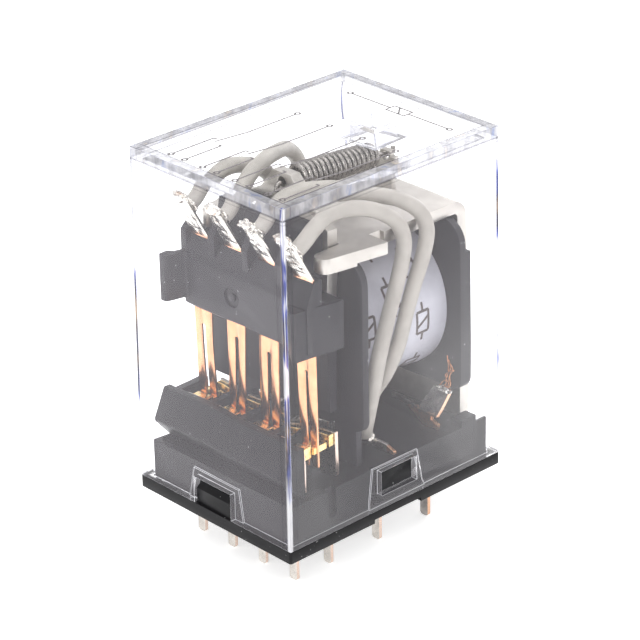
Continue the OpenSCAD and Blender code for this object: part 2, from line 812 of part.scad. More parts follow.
module moving_block() {
    ear_clear = ear_nose_x - ear_nose_r - ear_play;
    color([0.12, 0.12, 0.13]) difference() {
        union() {
            slab_y(-block_end, block_end) polygon([
                [block_face, block_foot + block_edge], [block_face, block_ledge],
                [spring_place - 0.15, tip_bend_z - 0.2], [spring_place + rib_half, block_shoulder],
                [ear_clear, block_shoulder], [ear_clear, block_ledge - 0.2], [block_back, block_ledge - 0.4],
                [block_back, block_foot], [block_face + block_edge, block_foot]
            ]);
            slab_y(-body_half, body_half) polygon([
                [ear_clear - overlap, block_ledge - 1], [ear_clear - overlap, block_shoulder],
                [ear_clear + bite, body_top], [rail_back, body_top], [rail_back, block_ledge - 1]
            ]);
            slab_y(-rail_outer, rail_outer) polygon([
                [rail_front, rail_top], [rail_back, rail_top],
                [rail_back - rail_taper, rail_low], [rail_front + rail_taper, rail_low]
            ]);
            translate([0, 0, wing_low]) linear_extrude(wing_high - wing_low) wing_outline();
            translate([0, 0, horn_low]) linear_extrude(horn_high - horn_low) polygon(horn);
            box_between([rail_front, rail_outer - block_edge, skirt_foot], [skirt_back, wing_tip, rail_top]);
            slab_y(block_end - overlap, end_wall_edge) polygon([
                [end_wall_face, end_wall_low], [end_wall_face, end_wall_top - 0.7],
                [end_wall_face + 0.8, end_wall_top], [ear_clear, end_wall_top],
                [ear_clear, end_wall_dip], [block_back, end_wall_dip], [block_back, end_wall_low]
            ]);
            for (row = [-1:1]) translate([0, row * spring_pitch, 0]) slab_y(-rib_half, rib_half) polygon([
                [block_face + rib_half, block_ledge], [spring_place - 0.9, tip_bend_z + 0.6],
                [spring_place, rib_top], [ear_clear, rib_top], [ear_clear, block_ledge]
            ]);
        }
        opened() armature_plate(moulding_gap);
        opened() box_between([plate_inner - moulding_gap, -rail_outer - overcut, armature_foot - 2],
            [plate_inner + 2, rail_outer + overcut, body_top + 2]);
        for (pole = [1:4]) translate([0, spring_y(pole), 0]) spring_strip(spring_width, moulding_gap);
        translate([block_face - overcut, spring_y(2) - 0.6, mark_z]) rotate([0, 90, 0]) difference() {
            cylinder(h = overcut + mark_depth, r = 1);
            cylinder(h = overcut + 2 * mark_depth, r = mark_core);
        }
    }
}

// Bent strip of the yoke, seen from the side
module yoke_profile() {
    centre = [leg_outer - bend_radius, yoke_top - bend_radius];
    inner = bend_radius - yoke_thickness;
    box_2d([yoke_front, hinge_z], [centre[0], yoke_top]);
    box_2d([hinge_x, yoke_under], [centre[0], yoke_top]);
    translate([hinge_x, hinge_z]) circle(hinge_edge);
    box_2d([leg_inner, leg_foot + 0.05], [leg_outer, centre[1]]);
    difference() {
        intersection() {
            translate(centre) circle(bend_radius);
            translate(centre) square(2 * bend_radius);
        }
        translate(centre) circle(inner);
    }
}

module box_2d(low, high) {
    translate(low) square(high - low);
}

// The two ears of the yoke, one each side of the armature, with rounded noses
module ear_outlines() {
    on_both_sides() {
        polygon([
            [yoke_front + 2 * bite, ear_inner], [ear_nose_x, ear_inner],
            [ear_nose_x - ear_nose_r * ear_shoulder[0], ear_inner + ear_nose_r * ear_shoulder[1]],
            [ear_back - rib_half, ear_outer], [ear_back, ear_outer], [ear_back, ear_inner]
        ]);
        translate([ear_nose_x, ear_inner + ear_nose_r]) circle(ear_nose_r);
    }
}

module yoke() {
    color("gainsboro") difference() {
        union() {
            slab_y(-yoke_width / 2, yoke_width / 2) yoke_profile();
            translate([0, 0, yoke_under]) linear_extrude(yoke_thickness) ear_outlines();
            translate([0, 0, yoke_under - ear_drop]) linear_extrude(yoke_thickness) intersection() {
                ear_outlines();
                box_2d([-cover_length, -cover_width], [plate_inner, cover_width]);
            }
            slab_x(anchor_x - anchor_thickness / 2, anchor_x + anchor_thickness / 2) {
                box_2d([-anchor_half_width, yoke_top - bite], [anchor_half_width, anchor_top - anchor_step]);
                box_2d([anchor_step - anchor_half_width, anchor_top - 1],
                    [anchor_half_width - anchor_step, anchor_top]);
            }
        }
        on_both_sides()
            box_between([ear_back, yoke_width / 2 - ear_bite, yoke_under - overcut],
                [ear_back + ear_relief, yoke_width, yoke_top + overcut]);
        rod_x(leg_inner - overcut, leg_outer + overcut, rivet_radius + slot_gap, coil_level);
        rod_x(anchor_x - overcut, anchor_x + overcut, tail_hole_r, anchor_hole_z);
    }
}

module core() {
    color("darkgray") {
        rod_x(pole_face_x, front_flange_x + shoe_depth - slot_gap, pole_diameter / 2, coil_level);
        rod_x(pole_face_x, leg_inner, core_diameter / 2, coil_level);
        rod_x(leg_inner - bite, leg_outer + overlap, rivet_radius, coil_level);
        rod_x(leg_outer, leg_outer + rivet_head_height, rivet_head_radius, coil_level);
    }
}

// Outline of a bobbin flange in Y and Z, with two feet that stand on the base
module flange_outline(top, foot) {
    half = bobbin_width / 2;
    box_2d([-half, bobbin_low + bobbin_foot_corner], [half, top - bobbin_corner]);
    box_2d([-half + bobbin_corner, top - bobbin_corner - 1], [half - bobbin_corner, top]);
    box_2d([-half + bobbin_foot_corner, bobbin_low], [half - bobbin_foot_corner, top - bobbin_corner]);
    for (side = [-1, 1]) {
        translate([side * (half - bobbin_corner), top - bobbin_corner]) circle(bobbin_corner);
        translate([side * (half - bobbin_foot_corner), bobbin_low + bobbin_foot_corner])
            circle(bobbin_foot_corner);
        if (foot) translate([side * bobbin_foot_y, 0])
            box_2d([-bobbin_foot_width / 2, block_top + seam_gap], [bobbin_foot_width / 2, bobbin_low + 1]);
    }
}

module bobbin() {
    top = bobbin_low + bobbin_height;
    bore = core_diameter / 2 + core_gap;
    color([0.1, 0.1, 0.1]) difference() {
        union() {
            slab_x(front_flange_x, barrel_x) flange_outline(top, true);
            slab_x(rear_flange_x, rear_flange_x + rear_skin) flange_outline(top, false);
            slab_x(rear_flange_x, rear_flange_x + rear_flange_thickness) intersection() {
                flange_outline(top, false);
                box_2d([-bobbin_width, 0], [bobbin_width, rear_lip_top]);
            }
            rod_x(barrel_x - overlap, rear_flange_x + overlap, barrel_radius, coil_level);
        }
        rod_x(front_flange_x - overcut, leg_inner + overcut, bore, coil_level);
        rod_x(front_flange_x - overcut, front_flange_x + shoe_depth,
            pole_diameter / 2 + core_gap, coil_level);
    }
}

module coil_ring(inner, outer) {
    low = barrel_x + winding_gap;
    high = rear_flange_x - winding_gap;
    difference() {
        rod_x(low, high, outer, coil_level);
        rod_x(low - overcut, high + overcut, inner, coil_level);
    }
}

module winding() {
    color("chocolate") coil_ring(barrel_radius + winding_gap, winding_radius - winding_gap / 2);
}

module coil_tape() {
    color("lightsteelblue") coil_ring(winding_radius, tape_radius);
}

// Centre line of the return spring: hook, helix, hook
function return_path() =
    let (
        way = unit(return_end - return_start),
        up = cross([0, 1, 0], way) * -1,
        radius = (return_diameter - return_wire) / 2,
        count = return_turns * return_steps,
        tail = [plate_outer - 0.45, 0, tail_hole_z],
        anchor = [anchor_x + anchor_thickness / 2 + 0.45, 0, anchor_hole_z]
    )
    concat(
        [tail - [0.1, 0, hook_reach * 0.7], tail - [0.1, 0, 0.25], tail + [0.2, 0, 0],
            return_start - [hook_reach * 0.4, 0, 0]],
        [for (k = [0:count])
            return_start + (return_end - return_start) * k / count
                + radius * min(1, k / 6, (count - k) / 6)
                * (cos(360 * k / return_steps) * up + sin(360 * k / return_steps) * [0, 1, 0])],
        [return_end + [hook_reach * 0.6, 0, -0.35], anchor - [0.5, 0, 0], anchor - [0.05, 0, -0.1],
            anchor + [0.05, 0, hook_reach * 0.7]]
    );

module return_spring() {
    color("dimgray") swept_rod(return_path(), return_wire / 2, return_sides);
}

module lead_wire(pole) {
    color("gray") swept_rod(route(pole), wire_diameter / 2, wire_sides);
}

// Solder between a wire's lower end and the lug of its common terminal
module lug_solder(pole) {
    end = wire_foot(pole)[1];
    color("lightgray") difference() {
        translate([(end[0] + com_row) / 2, end[1], block_top + lug_height]) sphere(lug_solder_radius);
        box_between([com_row - 2, -block_half_width, 0],
            [com_row + 2, block_half_width, block_top + seam_gap]);
        com_lug(pole);
    }
}

// Fine winding wire from the flange's inner face down to the coil terminal
module coil_lead(side) {
    x = rear_flange_x - lead_radius - seam_gap;
    y = coil_pole_y + 0.7;
    color("orangered") mirror([0, side < 0 ? 1 : 0, 0]) for (k = [0, 1])
        swept_rod([
            [x, y + 0.3 + 0.45 * k, lead_top - k], [x, y + 0.4 + 0.3 * k, lead_bow],
            [x, y + 0.2 + 0.35 * k, lead_bow - 1], [x - 0.05, y + 0.3 * k, ribbon_top_z + 0.15]
        ], lead_radius, wire_sides);
}

module coil_solder(side) {
    place = [coil_row + ribbon_top_x - 0.3, coil_pole_y + 0.5, ribbon_top_z + 0.05];
    color("lightgray") mirror([0, side < 0 ? 1 : 0, 0]) difference() {
        translate(place) rotate([90, 0, 0])
            cylinder(h = ribbon_width - 0.6, r = coil_solder_radius / 2, center = true);
        coil_ribbon();
    }
}

cover();
base();
for (pole = [1:4]) {
    nc_terminal(pole);
    no_terminal(pole);
    com_terminal(pole);
    nc_contact(pole);
    no_contact(pole);
    contact_spring(pole);
    moving_contact(pole);
    tip_solder(pole);
    lead_wire(pole);
    lug_solder(pole);
}
for (coil_end = [1, 2]) {
    side = coil_end == 1 ? 1 : -1;
    coil_terminal(side);
    coil_lead(side);
    coil_solder(side);
}
moving_block();
armature();
yoke();
core();
bobbin();
winding();
coil_tape();
return_spring();
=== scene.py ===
import json
import math
import random

import bmesh
import bpy
from mathutils import Matrix, Vector, noise


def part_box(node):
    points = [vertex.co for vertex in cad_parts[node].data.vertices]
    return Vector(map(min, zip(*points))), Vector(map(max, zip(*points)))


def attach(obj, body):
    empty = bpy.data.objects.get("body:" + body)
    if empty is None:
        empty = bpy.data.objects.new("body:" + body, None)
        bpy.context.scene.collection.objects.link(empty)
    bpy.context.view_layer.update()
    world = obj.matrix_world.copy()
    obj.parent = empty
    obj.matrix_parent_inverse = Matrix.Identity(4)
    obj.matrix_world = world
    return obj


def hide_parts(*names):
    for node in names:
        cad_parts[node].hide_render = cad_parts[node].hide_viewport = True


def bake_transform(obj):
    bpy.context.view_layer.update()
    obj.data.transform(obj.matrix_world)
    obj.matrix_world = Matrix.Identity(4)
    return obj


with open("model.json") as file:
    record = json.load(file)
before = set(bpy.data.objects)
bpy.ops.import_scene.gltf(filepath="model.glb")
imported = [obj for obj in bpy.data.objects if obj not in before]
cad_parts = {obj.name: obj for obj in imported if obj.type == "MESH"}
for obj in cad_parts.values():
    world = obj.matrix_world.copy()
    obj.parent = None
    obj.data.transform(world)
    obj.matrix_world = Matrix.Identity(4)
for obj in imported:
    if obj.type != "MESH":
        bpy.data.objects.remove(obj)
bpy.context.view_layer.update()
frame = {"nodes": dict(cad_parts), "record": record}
nodes = frame["nodes"]
MM = 0.001
POLES = range(1, 5)

# Sizes of the model that the pieces below follow, in millimetres
PINS_DOWN = 5.0
COVER_LENGTH, COVER_WIDTH, RELAY_HEIGHT = 28.0, 21.5, 35.85
COVER_FOOT, COVER_DRAFT, ROOF = 1.25, 0.3, 1.2
COVER_RISE = RELAY_HEIGHT - COVER_FOOT
BOSS_X = 7.5
PITCH, SPRING_PITCH = 4.4, 4.55
SPRING_X, TIP_BEND_Z, TIP_END = -8.0, 26.3, (-10.6, 31.2)
SPRING_THICKNESS, SLOT_GAP, TIP_WIDTH, TIP_ROOT_WIDTH = 0.22, 0.02, 1.8, 2.4
TIP_TRIMS = (0, 0, 0.4, 0.4)
TIP_ANGLE = math.atan2(SPRING_X - TIP_END[0], TIP_END[1] - TIP_BEND_Z)
TIP_LENGTH = math.hypot(SPRING_X - TIP_END[0], TIP_END[1] - TIP_BEND_Z)
TIP_UP = Vector((-math.sin(TIP_ANGLE), 0, math.cos(TIP_ANGLE)))
TIP_BACK = Vector((math.cos(TIP_ANGLE), 0, math.sin(TIP_ANGLE)))
WIRE_RADIUS = 0.75
COIL_LEVEL, COIL_RADIUS = 17.5, 7.3
AXES = (Vector((1, 0, 0)), Vector((0, 1, 0)), Vector((0, 0, 1)))


# ---------------------------------------------------------------- camera, lights and floor

VIEW_AZIMUTH = math.radians(-42.72)
VIEW_ELEVATION = math.radians(25.91)
VIEW_ROLL = math.radians(-1.11)
VIEW_TARGET = Vector((-1.58, -1.95, 18.0)) * MM
VIEW_DISTANCE = 280.59 * MM
LENS = 166.64
LAMP_AIM = Vector((0, 0, 0.015))
FLOOR_HALF = 1.2


def make_camera():
    toward = Vector((
        math.sin(VIEW_AZIMUTH) * math.cos(VIEW_ELEVATION),
        -math.cos(VIEW_AZIMUTH) * math.cos(VIEW_ELEVATION),
        math.sin(VIEW_ELEVATION),
    ))
    right = Vector((math.cos(VIEW_AZIMUTH), math.sin(VIEW_AZIMUTH), 0))
    up = toward.cross(right)
    rolled_right = right * math.cos(VIEW_ROLL) + up * math.sin(VIEW_ROLL)
    rolled_up = up * math.cos(VIEW_ROLL) - right * math.sin(VIEW_ROLL)
    data = bpy.data.cameras.new("camera")
    data.lens = LENS
    data.sensor_width = 36
    data.clip_start = 0.01
    camera = bpy.data.objects.new("camera", data)
    bpy.context.scene.collection.objects.link(camera)
    turn = Matrix((rolled_right, rolled_up, toward)).transposed().to_4x4()
    camera.matrix_world = Matrix.Translation(VIEW_TARGET + toward * VIEW_DISTANCE) @ turn
    bpy.context.scene.camera = camera


def make_lamp(name, place, size, power):
    data = bpy.data.lights.new(name, "AREA")
    data.shape = "RECTANGLE"
    data.size, data.size_y = size
    data.energy = power
    lamp = bpy.data.objects.new(name, data)
    bpy.context.scene.collection.objects.link(lamp)
    lamp.location = Vector(place)
    lamp.rotation_euler = (LAMP_AIM - lamp.location).to_track_quat("-Z", "Y").to_euler()


def make_studio():
    world = bpy.data.worlds.new("studio")
    world.use_nodes = True
    background = world.node_tree.nodes["Background"]
    background.inputs["Color"].default_value = (1, 1, 1, 1)
    background.inputs["Strength"].default_value = 1.0
    bpy.context.scene.world = world
    bpy.context.scene.view_settings.view_transform = "Standard"
    make_lamp("key", (-0.24, -0.26, 0.36), (0.22, 0.22), 0.45)
    make_lamp("top", (0.05, 0.05, 0.40), (0.30, 0.30), 0.4)
    make_lamp("side", (0.34, 0.06, 0.14), (0.18, 0.24), 0.25)


# ---------------------------------------------------------------- material helpers

class Shade:
    """A small builder for one procedural material on the Principled shader."""

    def __init__(self, name):
        self.material = bpy.data.materials.new(name)
        self.material.use_nodes = True
        self.tree = self.material.node_tree
        self.shader = self.tree.nodes["Principled BSDF"]
        self.output = self.tree.nodes["Material Output"]
        self.place = self.add("ShaderNodeTexCoord").outputs["Object"]

    def add(self, kind, **values):
        node = self.tree.nodes.new(kind)
        for key, value in values.items():
            setattr(node, key, value)
        return node

    def link(self, out, into):
        self.tree.links.new(out, into)

    def constant(self, **values):
        for key, value in values.items():
            self.shader.inputs[key.replace("_", " ")].default_value = value
        return self

    def stretched(self, scale):
        """Object coordinates in millimetres, stretched by scale along each axis."""
        mapping = self.add("ShaderNodeMapping")
        mapping.inputs["Scale"].default_value = [s / MM for s in scale]
        self.link(self.place, mapping.inputs["Vector"])
        return mapping.outputs["Vector"]

    def noise(self, scale, detail=4.0, roughness=0.55, stretch=(1, 1, 1)):
        """Noise with scale features per millimetre."""
        node = self.add("ShaderNodeTexNoise")
        node.inputs["Scale"].default_value = scale
        node.inputs["Detail"].default_value = detail
        node.inputs["Roughness"].default_value = roughness
        self.link(self.stretched(stretch), node.inputs["Vector"])
        return node.outputs["Fac"]

    def ramp(self, fac, stops):
        node = self.add("ShaderNodeValToRGB")
        band = node.color_ramp
        while len(band.elements) < len(stops):
            band.elements.new(0.5)
        for element, (place, colour) in zip(band.elements, stops):
            element.position = place
            element.color = (*colour, 1)
        self.link(fac, node.inputs["Fac"])
        return node.outputs["Color"]

    def spread(self, fac, low, high, start=0.3, end=0.7):
        node = self.add("ShaderNodeMapRange")
        for key, value in (("From Min", start), ("From Max", end), ("To Min", low), ("To Max", high)):
            node.inputs[key].default_value = value
        self.link(fac, node.inputs["Value"])
        return node.outputs["Result"]

    def mix(self, fac, a, b):
        """Colour a where fac is 0 and b where it is 1; each is a colour or a socket."""
        node = self.add("ShaderNodeMix", data_type="RGBA")
        for key, value in (("A", a), ("B", b)):
            socket = [s for s in node.inputs if s.name == key and s.type == "RGBA"][0]
            if isinstance(value, tuple):
                socket.default_value = (*value, 1)
            else:
                self.link(value, socket)
        self.link(fac, node.inputs["Factor"])
        return [s for s in node.outputs if s.type == "RGBA"][0]

    def maths(self, operation, a, b=0.0, clamp=False):
        node = self.add("ShaderNodeMath", operation=operation, use_clamp=clamp)
        for socket, value in zip(node.inputs, (a, b)):
            if isinstance(value, (int, float)):
                socket.default_value = value
            else:
                self.link(value, socket)
        return node.outputs[0]

    def axis(self, name):
        """One object coordinate in millimetres."""
        node = self.add("ShaderNodeSeparateXYZ")
        self.link(self.stretched((1, 1, 1)), node.inputs[0])
        return node.outputs[name]

    def colour(self, socket):
        self.link(socket, self.shader.inputs["Base Color"])
        return self

    def rough(self, socket):
        self.link(socket, self.shader.inputs["Roughness"])
        return self

    def bump(self, height, strength, distance=0.02):
        node = self.add("ShaderNodeBump")
        node.inputs["Strength"].default_value = strength
        node.inputs["Distance"].default_value = distance * MM
        self.link(height, node.inputs["Height"])
        self.link(node.outputs["Normal"], self.shader.inputs["Normal"])
        return self


def black_plastic(name, dark, light, rough, specks, ior):
    """Moulded plastic with a faint spark texture, fine pale dust specks and soft clouds in its tone."""
    shade = Shade(name)
    grain = shade.noise(7, 3)
    cloud = shade.noise(0.35, 4)
    body = shade.ramp(cloud, [(0.3, dark), (0.72, light)])
    dust = shade.spread(shade.noise(3.2, 1, 0.3), 0.0, specks, 0.775, 0.80)
    scuff = shade.spread(shade.noise(0.8, 5, 0.7, (1, 1, 4)), 0.0, 0.25 * specks, 0.62, 0.74)
    marked = shade.mix(scuff, body, (0.12, 0.12, 0.13))
    shade.colour(shade.mix(dust, marked, (0.5, 0.5, 0.5)))
    shade.rough(shade.spread(grain, rough - 0.03, rough + 0.03))
    shade.bump(grain, 0.035, 0.01)
    shade.constant(IOR=ior)
    return shade.material


def metal(name, dark, light, rough, grain=12, strength=0.2):
    """Plated or rolled metal: fine grain, soft tarnish clouds and roughness that follows the grain."""
    shade = Shade(name)
    fine = shade.noise(grain, 3, 0.6)
    cloud = shade.noise(0.9, 5, 0.6)
    body = shade.ramp(cloud, [(0.28, dark), (0.7, light)])
    shade.colour(body)
    shade.rough(shade.spread(fine, rough - 0.09, rough + 0.1))
    shade.bump(fine, strength, 0.01)
    shade.constant(Metallic=1.0)
    return shade.material


def tinned_metal(name, tin_low, tin_high, copper, copper_low, copper_high):
    """Dull tin on the faces and warmer cut edges, with bare copper between two heights and at lug ends."""
    shade = Shade(name)
    fine = shade.noise(10, 3)
    cloud = shade.noise(0.8, 5)
    tin = shade.ramp(cloud, [(0.3, tin_low), (0.7, tin_high)])
    facing = shade.add("ShaderNodeSeparateXYZ")
    shade.link(shade.add("ShaderNodeNewGeometry").outputs["True Normal"], facing.inputs[0])
    cut = shade.maths("ABSOLUTE", facing.outputs["Y"])
    edged = shade.mix(shade.spread(cut, 0.0, 0.8, 0.6, 0.9), tin, copper)
    uneven = shade.maths("ADD", shade.axis("Z"), shade.maths("MULTIPLY", shade.noise(0.9, 3), 1.2))
    bare = shade.maths("MULTIPLY", shade.spread(uneven, 0.0, 1.0, copper_low, copper_low + 0.6),
                       shade.spread(uneven, 1.0, 0.0, copper_high, copper_high + 0.5))
    outwards = shade.maths("ABSOLUTE", shade.axis("Y"))
    lug_end = shade.maths("MULTIPLY", shade.spread(outwards, 0.0, 1.0, 7.9, 8.2),
                          shade.spread(shade.axis("Z"), 0.0, 1.0, 5.0, 5.3))
    shade.colour(shade.mix(shade.maths("MAXIMUM", bare, lug_end), edged, (0.88, 0.48, 0.28)))
    shade.rough(shade.spread(fine, 0.22, 0.38))
    shade.bump(fine, 0.15, 0.01)
    shade.constant(Metallic=1.0)
    return shade.material


def spring_copper():
    """Rolled copper strip with fine lines along its length, tinned towards its upper end."""
    shade = Shade("spring_copper")
    lines = shade.noise(2.0, 3, 0.5, (1, 9, 0.3))
    cloud = shade.noise(0.7, 4)
    body = shade.ramp(cloud, [(0.3, (0.84, 0.36, 0.19)), (0.72, (0.94, 0.49, 0.28))])
    tin = shade.ramp(shade.noise(1.4, 5), [(0.3, (0.70, 0.66, 0.60)), (0.7, (0.93, 0.90, 0.84))])
    wave = shade.maths("MULTIPLY", shade.noise(1.1, 3), 1.4)
    height = shade.maths("ADD", shade.axis("Z"), wave)
    shade.colour(shade.mix(shade.spread(height, 0.0, 1.0, 26.8, 27.5), body, tin))
    shade.rough(shade.spread(lines, 0.16, 0.26))
    shade.bump(lines, 0.02, 0.006)
    shade.constant(Metallic=1.0)
    return shade.material


def contact_gold():
    shade = Shade("contact_gold")
    fine = shade.noise(9, 4)
    flux = shade.spread(shade.noise(1.6, 4, 0.65), 0.0, 0.85, 0.5, 0.68)
    gold = shade.ramp(shade.noise(1.2, 4), [(0.3, (0.93, 0.62, 0.20)), (0.7, (1.0, 0.80, 0.42))])
    shade.colour(shade.mix(flux, gold, (0.55, 0.25, 0.05)))
    shade.rough(shade.spread(fine, 0.16, 0.34))
    shade.bump(fine, 0.25, 0.015)
    shade.constant(Metallic=1.0)
    shade.constant(Coat_Weight=0.4)
    return shade.material


def solder():
    """Bright lumpy solder, painted darker in its dimples as shade, with a little amber flux."""
    shade = Shade("solder")
    lumps = shade.noise(1.6, 5, 0.6)
    fine = shade.noise(7, 3)
    # The colour follows the lumps of the bump: painted shade, darkest in the hollows
    body = shade.ramp(lumps, [
        (0.32, (0.22, 0.19, 0.17)), (0.47, (0.78, 0.74, 0.68)), (0.7, (0.96, 0.94, 0.9)),
    ])
    flux = shade.spread(shade.noise(0.9, 4, 0.7), 0.0, 0.7, 0.58, 0.7)
    shade.colour(shade.mix(flux, body, (0.35, 0.17, 0.06)))
    shade.rough(shade.spread(fine, 0.12, 0.3))
    shade.bump(lumps, 0.35, 0.08)
    shade.constant(Metallic=1.0)
    return shade.material


def wire_sleeve():
    shade = Shade("grey_sleeve")
    cloud = shade.noise(0.6, 4)
    fine = shade.noise(16, 2)
    body = shade.ramp(cloud, [(0.3, (0.36, 0.335, 0.30)), (0.7, (0.46, 0.43, 0.39))])
    smudge = shade.spread(shade.noise(1.5, 5, 0.7), 0.0, 0.35, 0.6, 0.75)
    shade.colour(shade.mix(smudge, body, (0.22, 0.20, 0.18)))
    shade.rough(shade.spread(fine, 0.4, 0.56))
    shade.bump(fine, 0.15, 0.01)
    return shade.material


def white_tape():
    """Glossy tape, a little uneven over the winding."""
    shade = Shade("white_tape")
    cloud = shade.noise(0.5, 3)
    fine = shade.noise(6, 3)
    body = shade.ramp(cloud, [(0.3, (0.46, 0.455, 0.51)), (0.7, (0.55, 0.545, 0.60))])
    shade.colour(body)
    shade.rough(shade.spread(fine, 0.24, 0.36))
    shade.bump(shade.noise(1.4, 3), 0.12, 0.03)
    shade.constant(Coat_Weight=0.2)
    return shade.material


def printed_ink(name, dark, light):
    shade = Shade(name)
    shade.colour(shade.ramp(shade.noise(6, 3), [(0.3, dark), (0.7, light)]))
    shade.rough(shade.spread(shade.noise(8, 2), 0.35, 0.55))
    return shade.material


def enamelled_wire():
    shade = Shade("enamelled_wire")
    turns = shade.noise(2.2, 3, 0.5, (6, 1, 1))
    shade.colour(shade.ramp(turns, [(0.3, (0.42, 0.14, 0.05)), (0.7, (0.86, 0.40, 0.18))]))
    shade.rough(shade.spread(turns, 0.2, 0.35))
    shade.bump(turns, 0.4, 0.05)
    shade.constant(Metallic=0.85)
    return shade.material


def clear_cover():
    """Polished clear plastic; a faint glow paints a pale veil of reflection over it, and its rim, corner
    posts and boss gather more tone as painted reflections, glints and dark lines.
    """
    shade = Shade("clear_cover")
    height = shade.axis("Z")
    lean = shade.maths("MULTIPLY", shade.maths("SUBTRACT", height, COVER_FOOT), COVER_DRAFT / COVER_RISE)

    def to_wall(half, name):
        run = shade.maths("SUBTRACT", half, shade.maths("ABSOLUTE", shade.axis(name)))
        return shade.maths("SUBTRACT", run, lean)

    def off_by(socket, value):
        return shade.maths("ABSOLUTE", shade.maths("SUBTRACT", socket, value))

    to_end = to_wall(COVER_LENGTH / 2, "X")
    to_side = to_wall(COVER_WIDTH / 2, "Y")
    to_top = shade.maths("DIVIDE", shade.maths("SUBTRACT", RELAY_HEIGHT, height), ROOF)
    near = shade.maths("MINIMUM", to_end, to_side)
    far = shade.maths("MAXIMUM", to_end, to_side)
    to_rim = shade.maths("MAXIMUM", near, to_top)
    # Masks for the painted reflection tones: the rim where walls meet the roof, the corner posts and a narrow
    # core in each post
    rim = shade.spread(to_rim, 1.0, 0.0, 0.94, 1.04)
    post = shade.spread(far, 1.0, 0.0, 0.9, 1.05)
    core = shade.spread(far, 1.0, 0.0, 0.25, 0.42)
    seam = off_by(to_rim, 1.0)
    line = shade.spread(seam, 1.0, 0.0, 0.05, 0.12)
    second = shade.spread(off_by(to_rim, 1.32), 0.6, 0.0, 0.0, 0.08)
    post_line = shade.spread(off_by(far, 0.98), 0.7, 0.0, 0.0, 0.1)
    to_boss = shade.maths("MAXIMUM", off_by(shade.axis("X"), BOSS_X), off_by(shade.axis("Y"), 0.0))
    ceiling = RELAY_HEIGHT - ROOF
    boss = shade.maths("MULTIPLY", shade.spread(to_boss, 1.0, 0.0, 2.4, 2.5),
                       shade.spread(height, 1.0, 0.0, ceiling - 0.05, ceiling))
    # Painted reflections: grey, orange and blue glints for the rim and boss, pale streaks for the corner
    # posts, and a dark, blue and white streak down each post core
    streaks = shade.noise(0.7, 3, 0.6, (1, 1, 0.35))
    glint = shade.ramp(streaks, [
        (0.28, (0.60, 0.53, 0.47)), (0.4, (0.34, 0.34, 0.37)),
        (0.6, (0.60, 0.60, 0.63)), (0.72, (0.30, 0.36, 0.58)),
    ])
    pale = shade.ramp(streaks, [
        (0.28, (0.84, 0.80, 0.78)), (0.42, (0.80, 0.80, 0.83)),
        (0.58, (0.88, 0.88, 0.90)), (0.72, (0.66, 0.70, 0.88)),
    ])
    painted_post_streak = shade.ramp(shade.noise(0.55, 3, 0.6, (1, 1, 0.2)), [
        (0.34, (0.42, 0.30, 0.20)), (0.42, (0.03, 0.03, 0.06)), (0.5, (0.10, 0.13, 0.45)),
        (0.56, (0.9, 0.9, 0.93)), (0.68, (0.55, 0.56, 0.62)),
    ])
    body = shade.mix(post, (0.975, 0.978, 0.985), pale)
    body = shade.mix(shade.maths("MAXIMUM", rim, shade.maths("MULTIPLY", boss, 0.45)), body, glint)
    body = shade.mix(shade.maths("MULTIPLY", core, shade.spread(height, 0.0, 1.0, 6.5, 9.5)), body, painted_post_streak)
    # Painted dark refraction lines: one at the inner edge of the rim band, a fainter one just inside it and
    # one along each post
    painted_dark_lines = shade.maths("MAXIMUM", shade.maths("MAXIMUM", line, second), post_line)
    shade.colour(shade.mix(shade.maths("MULTIPLY", painted_dark_lines, 0.85), body, (0.12, 0.12, 0.15)))
    # Less clear under the painted rim, post and boss tones, so that they show
    cloudy = shade.maths("MAXIMUM", shade.maths("MULTIPLY", rim, 0.45), shade.maths("MULTIPLY", core, 0.6))
    cloudy = shade.maths("MAXIMUM", cloudy, shade.maths("MULTIPLY", boss, 0.12))
    shade.link(shade.maths("SUBTRACT", 1.0, cloudy), shade.shader.inputs["Transmission Weight"])
    shade.rough(shade.spread(shade.noise(0.35, 4), 0.0, 0.012, 0.4, 0.8))
    shade.bump(shade.noise(0.16, 2), 0.05, 0.06)
    shade.constant(IOR=1.09, Coat_Weight=0.15, Coat_Roughness=0.02, Coat_IOR=1.5)
    # A faint glow on every face, a little stronger on faces across X and weaker on level faces: a painted
    # veil of reflection, not a lamp
    facing = shade.add("ShaderNodeSeparateXYZ")
    shade.link(shade.add("ShaderNodeNewGeometry").outputs["True Normal"], facing.inputs[0])
    painted_glow_veil = shade.spread(shade.maths("ABSOLUTE", facing.outputs["X"]), 0.036, 0.056, 0.2, 0.8)
    upright = shade.spread(shade.maths("ABSOLUTE", facing.outputs["Z"]), 1.0, 0.3, 0.2, 0.6)
    shade.link(shade.maths("MULTIPLY", painted_glow_veil, upright), shade.shader.inputs["Emission Strength"])
    shade.constant(Emission_Color=(0.97, 0.92, 1.0, 1))
    passing = shade.add("ShaderNodeBsdfTransparent")
    passing.inputs["Color"].default_value = (0.93, 0.935, 0.95, 1)
    chooser = shade.add("ShaderNodeMixShader")
    rays = shade.add("ShaderNodeLightPath")
    shade.link(rays.outputs["Is Shadow Ray"], chooser.inputs["Fac"])
    shade.link(shade.shader.outputs[0], chooser.inputs[1])
    shade.link(passing.outputs[0], chooser.inputs[2])
    shade.link(chooser.outputs[0], shade.output.inputs["Surface"])
    return shade.material


